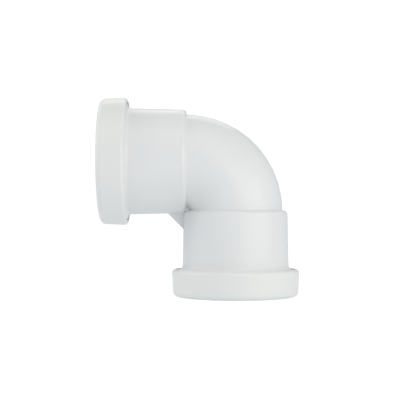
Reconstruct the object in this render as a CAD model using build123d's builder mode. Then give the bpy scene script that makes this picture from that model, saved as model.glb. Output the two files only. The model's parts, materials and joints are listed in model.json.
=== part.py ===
# White push-fit waste bend of 90 degrees, for pipe of the 32 mm size.
# One hollow moulding has a socket at each end. A cap snaps over the collar of each socket
# and holds a rubber lip seal in the pocket behind it.
# Millimetres, +Z up. The origin is the centre of the outlet mouth, on which the bend stands.
# The outlet socket rises along +Z, and the inlet socket points along -X.

import os

from build123d import *

# Pipe that the bend takes, and the room round it
pipe_radius = 17.3
pipe_wall = 1.7
socket_clearance = 0.35
mouth_clearance = 0.45

# Elbow: the throat is its inside corner, measured on the outer surface
elbow_wall = 2.4
throat_radius = 1.0

# Sockets: the pipe goes in from the mouth as far as the stop
insertion_depth = 30.6
stop_wall = 2.4
socket_wall = 2.3
socket_flare = 0.5
socket_lead = 0.5
step_round = 1.3
step_root_round = 0.6
root_length = 1.2
root_sink = 0.2

# Seal pocket inside each mouth, and the collar with its snap rib round it
pocket_depth = 3.35
pocket_length = 5.8
pocket_floor = 2.3
collar_wall = 1.4
collar_land = 0.15
rib_height = 0.4
rib_lead = 0.4
snap_recess = 3.0

# Snap cap
cap_front_wall = 2.2
skirt_clearance = 0.1
skirt_wall = 1.6
skirt_overhang = 0.2
bead_clearance = 0.1
bead_length = 0.9
cap_taper = 0.4
cap_round = 2.2
rim_round = 1.2
mouth_round = 0.5

# Lip seal
seal_clearance = 0.1
seal_setback = 0.25
seal_web = 2.4
heel_wall = 1.7
lip_root = 0.7
lip_squeeze = 0.7
lip_thickness = 1.1
lip_land = 1.5
lip_recess = 0.9
lip_round = 0.3

# Three-cornered web in the inner corner
web_leg = 6.2
web_thickness = 2.5
web_root = 0.6

# Solid fill of the throat between the two steps
fill_leg = 4.0
fill_width = 9.4
fill_root = 0.3

# Radii that follow from the sizes above
waterway_radius = pipe_radius - pipe_wall
socket_bore = pipe_radius + socket_clearance
socket_radius = socket_bore + socket_wall
socket_rear_radius = socket_radius + socket_flare
elbow_radius = waterway_radius + elbow_wall
bend_radius = elbow_radius + throat_radius
pocket_radius = socket_bore + pocket_depth
collar_radius = pocket_radius + collar_wall
rib_radius = collar_radius + rib_height
skirt_bore = rib_radius + skirt_clearance
bead_radius = collar_radius + skirt_clearance
bead_slope = skirt_bore - bead_radius
cap_radius = skirt_bore + skirt_wall
cap_front_radius = cap_radius - cap_taper
mouth_radius = pipe_radius + mouth_clearance
heel_radius = pocket_radius - seal_clearance
heel_bore = heel_radius - heel_wall
seal_front_bore = mouth_radius + seal_setback
lip_radius = pipe_radius - lip_squeeze

# The root round takes up the end face of the collar, but for a narrow land at its edge
collar_root_round = collar_radius - socket_rear_radius - collar_land

# Depths behind the mouth plane
pocket_end = cap_front_wall + pocket_length
collar_end = pocket_end + pocket_floor
rib_end = collar_end - snap_recess
bead_start = rib_end + bead_clearance
bead_end = bead_start + bead_length
cap_length = collar_end + skirt_overhang
step_depth = insertion_depth + stop_wall
reach = step_depth + bend_radius
seal_end = pocket_end - seal_clearance
lip_end = seal_end - lip_recess

# Section planes through the mouths: x is the radius, y the depth behind the mouth plane
mouths = {
    "outlet": Plane(origin=(0, 0, 0), x_dir=(1, 0, 0), z_dir=(0, -1, 0)),
    "inlet": Plane(origin=(-reach, 0, reach), x_dir=(0, 0, 1), z_dir=(0, 1, 0)),
}

# The elbow turns from the outlet socket's step to the inlet socket's step
elbow_start = Plane.XY.offset(step_depth)
bend_axis = Axis((-bend_radius, 0, step_depth), (0, -1, 0))

os.makedirs("parts", exist_ok=True)

# Bend body: the outside first, then the core that leaves the seats and the waterway
socket_outline = [
    (0, cap_front_wall),
    (rib_radius - rib_lead, cap_front_wall),
    (rib_radius, cap_front_wall + rib_lead),
    (rib_radius, rib_end),
    (collar_radius, rib_end),
    (collar_radius, collar_end),
    (socket_rear_radius, collar_end),
    (socket_radius, step_depth),
    (elbow_radius, step_depth),
    (elbow_radius - root_sink, step_depth + root_length),
    (0, step_depth + root_length),
]
socket_rounds = [0, 0, 0, 0, 0, 0, collar_root_round, step_round, step_root_round, 0, 0]

core_outline = [
    (0, 0),
    (pocket_radius, 0),
    (pocket_radius, pocket_end),
    (socket_bore + socket_lead, pocket_end),
    (socket_bore, pocket_end + socket_lead),
    (socket_bore, insertion_depth),
    (waterway_radius, insertion_depth),
    (waterway_radius, step_depth),
    (0, step_depth),
]

# The web's legs are measured from the corner of the two sockets. Its root lies in their walls
# and in the elbow's wall, so it also closes the throat.
web_inset = elbow_radius - web_root
web_reach = 2 * socket_radius + web_leg - web_inset
web_outline = [
    (-web_inset, reach - web_inset),
    (-web_reach, reach - web_inset),
    (-web_inset, reach - web_reach),
]

# The fill's root lies in the ends of the two sockets, and its long side in the elbow's wall
fill_inset = bend_radius + fill_root
fill_reach = fill_inset - fill_leg
fill_outline = [
    (-fill_inset, reach - fill_inset),
    (-fill_inset, reach - fill_reach),
    (-fill_reach, reach - fill_inset),
]

with BuildPart() as bend_body:
    for mouth in mouths.values():
        with BuildSketch(mouth):
            with BuildLine():
                FilletPolyline(*socket_outline, radius=socket_rounds, close=True)
            make_face()
        revolve(axis=Axis(mouth.origin, mouth.y_dir))
    with BuildSketch(elbow_start):
        Circle(elbow_radius)
    revolve(axis=bend_axis, revolution_arc=90)
    with BuildSketch(Plane.XZ):
        with BuildLine():
            Polyline(*web_outline, close=True)
        make_face()
    extrude(amount=web_thickness / 2, both=True)
    with BuildSketch(Plane.XZ):
        with BuildLine():
            Polyline(*fill_outline, close=True)
        make_face()
    extrude(amount=fill_width / 2, both=True)
    for mouth in mouths.values():
        with BuildSketch(mouth):
            with BuildLine():
                Polyline(*core_outline, close=True)
            make_face()
        revolve(axis=Axis(mouth.origin, mouth.y_dir), mode=Mode.SUBTRACT)
    with BuildSketch(elbow_start):
        Circle(waterway_radius)
    revolve(axis=bend_axis, revolution_arc=90, mode=Mode.SUBTRACT)

bend_body.part.label = "bend_body"
export_step(bend_body.part, "parts/bend_body.step")

# Snap caps: the front wall holds the seal in, and the bead hooks behind the collar's rib
cap_outline = [
    (mouth_radius, 0),
    (cap_front_radius, 0),
    (cap_radius, cap_length),
    (skirt_bore, cap_length),
    (skirt_bore, bead_end + bead_slope),
    (bead_radius, bead_end),
    (bead_radius, bead_start),
    (skirt_bore, bead_start),
    (skirt_bore, cap_front_wall),
    (mouth_radius, cap_front_wall),
]
cap_rounds = [mouth_round, cap_round, rim_round, 0, 0, 0, 0, 0, 0, 0]

for end, mouth in mouths.items():
    with BuildPart() as cap:
        with BuildSketch(mouth):
            with BuildLine():
                FilletPolyline(*cap_outline, radius=cap_rounds, close=True)
            make_face()
        revolve(axis=Axis(mouth.origin, mouth.y_dir))
    cap.part.label = f"{end}_cap"
    export_step(cap.part, f"parts/{end}_cap.step")

# Lip seals: a heel that fills the pocket, and a lip that leans inwards over the pipe
seal_outline = [
    (seal_front_bore, cap_front_wall),
    (heel_radius, cap_front_wall),
    (heel_radius, seal_end),
    (heel_bore, seal_end),
    (heel_bore, cap_front_wall + seal_web),
    (lip_radius + lip_thickness, lip_end),
    (lip_radius, lip_end),
    (lip_radius, lip_end - lip_land),
    (seal_front_bore, cap_front_wall + lip_root),
]
seal_rounds = [0, 0, 0, lip_round, lip_round, lip_round, 0, 0, 0]

for end, mouth in mouths.items():
    with BuildPart() as seal:
        with BuildSketch(mouth):
            with BuildLine():
                FilletPolyline(*seal_outline, radius=seal_rounds, close=True)
            make_face()
        revolve(axis=Axis(mouth.origin, mouth.y_dir))
    seal.part.label = f"{end}_seal"
    export_step(seal.part, f"parts/{end}_seal.step")
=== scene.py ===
import json
import math

import bpy
from mathutils import Matrix, Vector
from mathutils.bvhtree import BVHTree


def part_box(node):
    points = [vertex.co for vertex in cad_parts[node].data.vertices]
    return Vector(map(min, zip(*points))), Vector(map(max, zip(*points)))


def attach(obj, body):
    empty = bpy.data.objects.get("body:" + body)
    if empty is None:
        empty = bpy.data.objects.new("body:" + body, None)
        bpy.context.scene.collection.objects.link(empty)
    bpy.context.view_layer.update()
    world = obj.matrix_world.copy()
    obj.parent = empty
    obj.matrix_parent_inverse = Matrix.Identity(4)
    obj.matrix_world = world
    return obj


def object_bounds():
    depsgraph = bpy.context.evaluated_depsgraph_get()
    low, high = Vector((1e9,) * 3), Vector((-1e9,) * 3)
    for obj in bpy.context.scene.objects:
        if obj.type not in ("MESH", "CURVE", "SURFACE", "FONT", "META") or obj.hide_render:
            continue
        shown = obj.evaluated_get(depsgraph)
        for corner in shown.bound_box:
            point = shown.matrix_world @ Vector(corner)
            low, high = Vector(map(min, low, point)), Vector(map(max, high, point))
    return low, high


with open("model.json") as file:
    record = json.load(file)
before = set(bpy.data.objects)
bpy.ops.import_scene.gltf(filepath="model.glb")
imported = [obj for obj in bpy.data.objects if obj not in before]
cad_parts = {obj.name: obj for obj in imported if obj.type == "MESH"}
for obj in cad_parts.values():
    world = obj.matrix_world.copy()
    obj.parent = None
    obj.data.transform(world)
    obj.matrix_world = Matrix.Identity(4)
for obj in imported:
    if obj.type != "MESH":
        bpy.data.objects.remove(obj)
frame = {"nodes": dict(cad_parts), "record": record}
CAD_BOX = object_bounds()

MM = 0.001
BODY = "root"
ENDS = ("outlet", "inlet")
CENTRE = (CAD_BOX[0] + CAD_BOX[1]) / 2

# Camera: a long lens, almost square to the plane of the bend. The crossing of the two pipe axes
# lies this far to the right of the picture's middle, and this far above it.
IMAGE_PIXELS = 400
SENSOR_MM = 36.0
VIEW_FOCAL_PIXELS = 1085.6
VIEW_DISTANCE = 419.2 * MM
CROSSING_RIGHT = 13.69 * MM
CROSSING_UP = 14.87 * MM
VIEW_YAW = math.radians(-0.25)
VIEW_PITCH = math.radians(-0.55)
CLIP_NEAR = 10.0 * MM
CLIP_FAR = 20.0

# Light: a white room, cool in the shade, with warm softboxes round the part
WHITE = (1.0, 1.0, 1.0, 1.0)
SHADE_COLOUR = (0.905, 0.955, 1.0, 1.0)
LAMP_COLOUR = (1.0, 0.95, 0.865)
DOME_STRENGTH = 0.575
BACKDROP_STRENGTH = 1.05
SOFTBOX_SIDE = 0.7
SOFTBOX_DISTANCE = 0.9
KEY_WAY = (0.74, -0.79, 0.21)
KEY_POWER = 0.77
KEY_LENGTH = 0.55
KEY_HEIGHT = 0.24
KEY_DISTANCE = 0.5
LEFT_WAY = (-1.0, 0.03, 0.39)
LEFT_POWER = 2.14
TOP_WAY = (0.06, -0.54, 0.83)
TOP_POWER = 1.06
RIM_WAY = (-0.25, 0.72, 0.69)
RIM_POWER = 1.35
RIM_LENGTH = 1.1
RIM_DEPTH = 0.32

# Floor: a pale sheet that is lit from below, as on a light table
FLOOR_SIDE = 8.0
FLOOR_COLOUR = (0.35, 0.35, 0.35, 1.0)
FLOOR_GLOW = 0.51
FLOOR_SHINE = 0.85

# White moulded plastic: faint clouds in the white, uneven gloss, and the fine skin of the mould
BODY_WHITE = (0.833, 0.840, 0.838, 1.0)
BODY_WHITE_DULL = (0.816, 0.823, 0.823, 1.0)
CAP_WHITE = (0.849, 0.853, 0.837, 1.0)
CAP_WHITE_DULL = (0.832, 0.836, 0.823, 1.0)
PLASTIC_IOR = 1.49
PLASTIC_GLOSSY = 0.29
PLASTIC_SATIN = 0.34
CLOUD_SIZE = 18.0 * MM
GLOSS_PATCH = 6.0 * MM
SKIN_GRAIN = 0.7 * MM
SKIN_DEPTH = 0.01 * MM
SKIN_STRENGTH = 0.1

# Black moulded rubber: a grey bloom in patches, and a dull, slightly rough skin
RUBBER_BLACK = (0.012, 0.012, 0.013, 1.0)
RUBBER_BLOOM = (0.035, 0.035, 0.037, 1.0)
RUBBER_IOR = 1.52
RUBBER_SMOOTH = 0.50
RUBBER_DULL = 0.68
BLOOM_SIZE = 4.0 * MM
RUBBER_GRAIN = 0.35 * MM
RUBBER_DEPTH = 0.02 * MM
RUBBER_STRENGTH = 0.4

# Mould line: the fine ridge along the outside of the bend, where the two mould halves met
QUARTER_TURN = math.radians(90.0)
LINE_POINTS = 260
LINE_RADIUS = 0.16 * MM
LINE_SINK = 0.08 * MM
LINE_SIDES = 8
RAY_START = 200.0 * MM

# Patterns: how fine they are, and the part of their range that is used
CLOUD_DETAIL = 1.0
GRAIN_DETAIL = 1.0
TONE_START = 0.3
TONE_END = 0.7


def mount_place(name):
    """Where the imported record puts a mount."""
    found = [mount for mount in frame["record"]["mounts"] if mount["name"] == name]
    return Vector(found[0]["pos_m"])


def set_camera():
    """Puts the camera where the crossing of the pipe axes falls as in the photograph."""
    crossing = Vector((mount_place("outlet_mouth").x, 0.0, mount_place("inlet_mouth").z))
    pitch = Matrix.Rotation(VIEW_PITCH, 3, "X")
    yaw = Matrix.Rotation(VIEW_YAW, 3, "Z")
    turn = pitch @ yaw
    right, forward, up = turn
    camera = bpy.data.objects.new("camera", bpy.data.cameras.new("camera"))
    camera.data.sensor_width = SENSOR_MM
    camera.data.lens = VIEW_FOCAL_PIXELS / IMAGE_PIXELS * SENSOR_MM
    camera.data.clip_start = CLIP_NEAR
    camera.data.clip_end = CLIP_FAR
    place = crossing - turn.transposed() @ Vector((CROSSING_RIGHT, VIEW_DISTANCE, CROSSING_UP))
    rotation = Matrix((right, up, -forward)).transposed()
    camera.matrix_world = Matrix.Translation(place) @ rotation.to_4x4()
    bpy.context.scene.collection.objects.link(camera)
    bpy.context.scene.camera = camera


def add_node(tree, kind, label, **values):
    """New node with a label in plain words and its own values on its sockets."""
    node = tree.nodes.new(kind)
    node.label = label
    for name, value in values.items():
        node.inputs[name.replace("_", " ")].default_value = value
    return node


def set_world():
    """White studio: a dome that lights the part, and plain white where the camera looks past it."""
    world = bpy.data.worlds.new("white_studio")
    bpy.context.scene.world = world
    world.use_nodes = True
    tree = world.node_tree
    tree.nodes.clear()
    out = add_node(tree, "ShaderNodeOutputWorld", "out")
    mix = add_node(tree, "ShaderNodeMixShader", "dome or backdrop")
    ray = add_node(tree, "ShaderNodeLightPath", "ray")
    dome = add_node(tree, "ShaderNodeBackground", "dome",
                    Color=SHADE_COLOUR, Strength=DOME_STRENGTH)
    backdrop = add_node(tree, "ShaderNodeBackground", "backdrop",
                        Color=WHITE, Strength=BACKDROP_STRENGTH)
    tree.links.new(ray.outputs["Is Camera Ray"], mix.inputs["Fac"])
    tree.links.new(dome.outputs[0], mix.inputs[1])
    tree.links.new(backdrop.outputs[0], mix.inputs[2])
    tree.links.new(mix.outputs[0], out.inputs["Surface"])


def add_softbox(name, way, power,
                length=SOFTBOX_SIDE, depth=SOFTBOX_SIDE, distance=SOFTBOX_DISTANCE):
    """Soft light that shines on the bend from the given direction."""
    light = bpy.data.lights.new(name, "AREA")
    light.shape = "RECTANGLE"
    light.size = length
    light.size_y = depth
    light.energy = power
    light.color = LAMP_COLOUR
    softbox = bpy.data.objects.new(name, light)
    toward = Vector(way).normalized()
    softbox.location = CENTRE + toward * distance
    softbox.rotation_euler = toward.to_track_quat("Z", "Y").to_euler()
    bpy.context.scene.collection.objects.link(softbox)


def add_floor():
    """Plain pale floor under the outlet mouth."""
    mesh = bpy.data.meshes.new("floor")
    low = CAD_BOX[0].z
    half = FLOOR_SIDE / 2
    corners = [(-half, -half, low), (half, -half, low), (half, half, low), (-half, half, low)]
    mesh.from_pydata(corners, [], [(0, 1, 2, 3)])
    floor = bpy.data.objects.new("floor", mesh)
    bpy.context.scene.collection.objects.link(floor)
    sheet = bpy.data.materials.new("white_sheet")
    sheet.use_nodes = True
    tree = sheet.node_tree
    tree.nodes.clear()
    out = add_node(tree, "ShaderNodeOutputMaterial", "out")
    paper = add_node(tree, "ShaderNodeBsdfDiffuse", "paper", Color=FLOOR_COLOUR)
    glow = add_node(tree, "ShaderNodeEmission", "glow on the part",
                    Color=SHADE_COLOUR, Strength=FLOOR_GLOW)
    shine = add_node(tree, "ShaderNodeEmission", "glow to the camera",
                     Color=WHITE, Strength=FLOOR_SHINE)
    ray = add_node(tree, "ShaderNodeLightPath", "ray")
    mix = add_node(tree, "ShaderNodeMixShader", "part or camera")
    both = add_node(tree, "ShaderNodeAddShader", "paper and glow")
    tree.links.new(ray.outputs["Is Camera Ray"], mix.inputs["Fac"])
    tree.links.new(glow.outputs[0], mix.inputs[1])
    tree.links.new(shine.outputs[0], mix.inputs[2])
    tree.links.new(paper.outputs[0], both.inputs[0])
    tree.links.new(mix.outputs[0], both.inputs[1])
    tree.links.new(both.outputs[0], out.inputs["Surface"])
    mesh.materials.append(sheet)


def new_finish(name, ior):
    """Material with its shader, and the place on the part that its patterns follow."""
    finish = bpy.data.materials.new(name)
    finish.use_nodes = True
    tree = finish.node_tree
    shader = tree.nodes["Principled BSDF"]
    shader.inputs["IOR"].default_value = ior
    place = add_node(tree, "ShaderNodeTexCoord", "place on the part")
    return finish, tree, shader, place


def add_pattern(tree, place, label, size, detail):
    """Soft random pattern whose features have about the given size."""
    pattern = add_node(tree, "ShaderNodeTexNoise", label, Scale=1.0 / size, Detail=detail)
    tree.links.new(place.outputs["Object"], pattern.inputs["Vector"])
    return pattern


def colour_from(tree, pattern, shader, low, high):
    """The shader's colour goes from one tone to the other with the pattern."""
    tones = add_node(tree, "ShaderNodeValToRGB", "tones")
    tones.color_ramp.elements[0].color = low
    tones.color_ramp.elements[1].color = high
    tones.color_ramp.elements[0].position = TONE_START
    tones.color_ramp.elements[1].position = TONE_END
    tree.links.new(pattern.outputs["Fac"], tones.inputs["Fac"])
    tree.links.new(tones.outputs["Color"], shader.inputs["Base Color"])


def roughness_from(tree, pattern, shader, low, high):
    """The shader's roughness goes from one value to the other with the pattern."""
    gloss = add_node(tree, "ShaderNodeMapRange", "gloss",
                     From_Min=TONE_START, From_Max=TONE_END, To_Min=low, To_Max=high)
    tree.links.new(pattern.outputs["Fac"], gloss.inputs["Value"])
    tree.links.new(gloss.outputs["Result"], shader.inputs["Roughness"])


def skin_from(tree, pattern, shader, strength, depth):
    """The surface rises and falls a little with the pattern."""
    skin = add_node(tree, "ShaderNodeBump", "skin", Strength=strength, Distance=depth)
    tree.links.new(pattern.outputs["Fac"], skin.inputs["Height"])
    tree.links.new(skin.outputs["Normal"], shader.inputs["Normal"])


def moulded_plastic(name, white, dull_white):
    """White polypropylene as it leaves the mould."""
    finish, tree, shader, place = new_finish(name, PLASTIC_IOR)
    clouds = add_pattern(tree, place, "clouds", CLOUD_SIZE, CLOUD_DETAIL)
    patches = add_pattern(tree, place, "gloss patches", GLOSS_PATCH, CLOUD_DETAIL)
    grain = add_pattern(tree, place, "skin grain", SKIN_GRAIN, GRAIN_DETAIL)
    colour_from(tree, clouds, shader, dull_white, white)
    roughness_from(tree, patches, shader, PLASTIC_GLOSSY, PLASTIC_SATIN)
    skin_from(tree, grain, shader, SKIN_STRENGTH, SKIN_DEPTH)
    return finish


def seal_rubber(name):
    """Black rubber of the lip seals."""
    finish, tree, shader, place = new_finish(name, RUBBER_IOR)
    bloom = add_pattern(tree, place, "bloom", BLOOM_SIZE, CLOUD_DETAIL)
    grain = add_pattern(tree, place, "rubber grain", RUBBER_GRAIN, GRAIN_DETAIL)
    colour_from(tree, bloom, shader, RUBBER_BLACK, RUBBER_BLOOM)
    roughness_from(tree, bloom, shader, RUBBER_SMOOTH, RUBBER_DULL)
    skin_from(tree, grain, shader, RUBBER_STRENGTH, RUBBER_DEPTH)
    return finish


def dress(node, finish):
    """The CAD node's only material."""
    materials = frame["nodes"][node].data.materials
    materials.clear()
    materials.append(finish)


def mould_line_path():
    """Points just under the outside of the body, in its plane of symmetry, from cap to cap."""
    body = BVHTree.FromObject(frame["nodes"]["bend_body"], bpy.context.evaluated_depsgraph_get())
    inlet_cap_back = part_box("inlet_cap")[1].x
    outlet_cap_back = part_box("outlet_cap")[1].z
    middle = Vector((inlet_cap_back, 0.0, outlet_cap_back))
    path = []
    for step in range(LINE_POINTS + 1):
        angle = QUARTER_TURN * step / LINE_POINTS
        outward = Vector((math.cos(angle), 0.0, math.sin(angle)))
        surface, normal, _, _ = body.ray_cast(middle + outward * RAY_START, -outward)
        path.append(surface - normal * LINE_SINK)
    return path


def mould_line_tree():
    """Geometry nodes that lay a fine round ridge along a path."""
    tree = bpy.data.node_groups.new("mould_line", "GeometryNodeTree")
    sockets = tree.interface
    sockets.new_socket("Path", in_out="INPUT", socket_type="NodeSocketGeometry")
    sockets.new_socket("Radius", in_out="INPUT", socket_type="NodeSocketFloat")
    sockets.new_socket("Sides", in_out="INPUT", socket_type="NodeSocketInt")
    sockets.new_socket("Plastic", in_out="INPUT", socket_type="NodeSocketMaterial")
    sockets.new_socket("Ridge", in_out="OUTPUT", socket_type="NodeSocketGeometry")
    given = add_node(tree, "NodeGroupInput", "path and sizes")
    curve = add_node(tree, "GeometryNodeMeshToCurve", "path as a curve")
    section = add_node(tree, "GeometryNodeCurvePrimitiveCircle", "section of the ridge")
    ridge = add_node(tree, "GeometryNodeCurveToMesh", "ridge", Fill_Caps=True)
    smooth = add_node(tree, "GeometryNodeSetShadeSmooth", "smooth")
    solid = add_node(tree, "GeometryNodeRealizeInstances", "one mesh")
    plastic = add_node(tree, "GeometryNodeSetMaterial", "plastic of the body")
    out = add_node(tree, "NodeGroupOutput", "ridge")
    links = tree.links
    links.new(given.outputs["Path"], curve.inputs["Mesh"])
    links.new(given.outputs["Radius"], section.inputs["Radius"])
    links.new(given.outputs["Sides"], section.inputs["Resolution"])
    links.new(curve.outputs["Curve"], ridge.inputs["Curve"])
    links.new(section.outputs["Curve"], ridge.inputs["Profile Curve"])
    links.new(ridge.outputs["Mesh"], smooth.inputs["Geometry"])
    links.new(smooth.outputs["Geometry"], solid.inputs["Geometry"])
    links.new(solid.outputs["Geometry"], plastic.inputs["Geometry"])
    links.new(given.outputs["Plastic"], plastic.inputs["Material"])
    links.new(plastic.outputs["Geometry"], out.inputs["Ridge"])
    return tree


def add_mould_line(finish):
    """Fine ridge that the two halves of the mould leave along the outside of the bend."""
    path = mould_line_path()
    edges = [(point, point + 1) for point in range(len(path) - 1)]
    route = bpy.data.meshes.new("mould_line_path")
    route.from_pydata(path, edges, [])
    guide = bpy.data.objects.new("mould_line_path", route)
    bpy.context.scene.collection.objects.link(guide)
    ridge = guide.modifiers.new("mould_line", "NODES")
    ridge.node_group = mould_line_tree()
    values = {"Radius": LINE_RADIUS, "Sides": LINE_SIDES, "Plastic": finish}
    for socket in ridge.node_group.interface.items_tree:
        if socket.name in values:
            ridge[socket.identifier] = values[socket.name]
    depsgraph = bpy.context.evaluated_depsgraph_get()
    mesh = bpy.data.meshes.new_from_object(guide.evaluated_get(depsgraph), depsgraph=depsgraph)
    mesh.name = "mould_line"
    bpy.data.objects.remove(guide)
    line = bpy.data.objects.new("mould_line", mesh)
    bpy.context.scene.collection.objects.link(line)
    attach(line, BODY)


bpy.context.scene.view_settings.view_transform = "Standard"
set_camera()
set_world()
add_floor()
add_softbox("key_light", KEY_WAY, KEY_POWER, KEY_LENGTH, KEY_HEIGHT, KEY_DISTANCE)
add_softbox("left_light", LEFT_WAY, LEFT_POWER)
add_softbox("top_light", TOP_WAY, TOP_POWER)
add_softbox("rim_light", RIM_WAY, RIM_POWER, RIM_LENGTH, RIM_DEPTH)

body_plastic = moulded_plastic("white_body_plastic", BODY_WHITE, BODY_WHITE_DULL)
cap_plastic = moulded_plastic("white_cap_plastic", CAP_WHITE, CAP_WHITE_DULL)
rubber = seal_rubber("black_seal_rubber")
dress("bend_body", body_plastic)
for end in ENDS:
    dress(f"{end}_cap", cap_plastic)
    dress(f"{end}_seal", rubber)
add_mould_line(body_plastic)
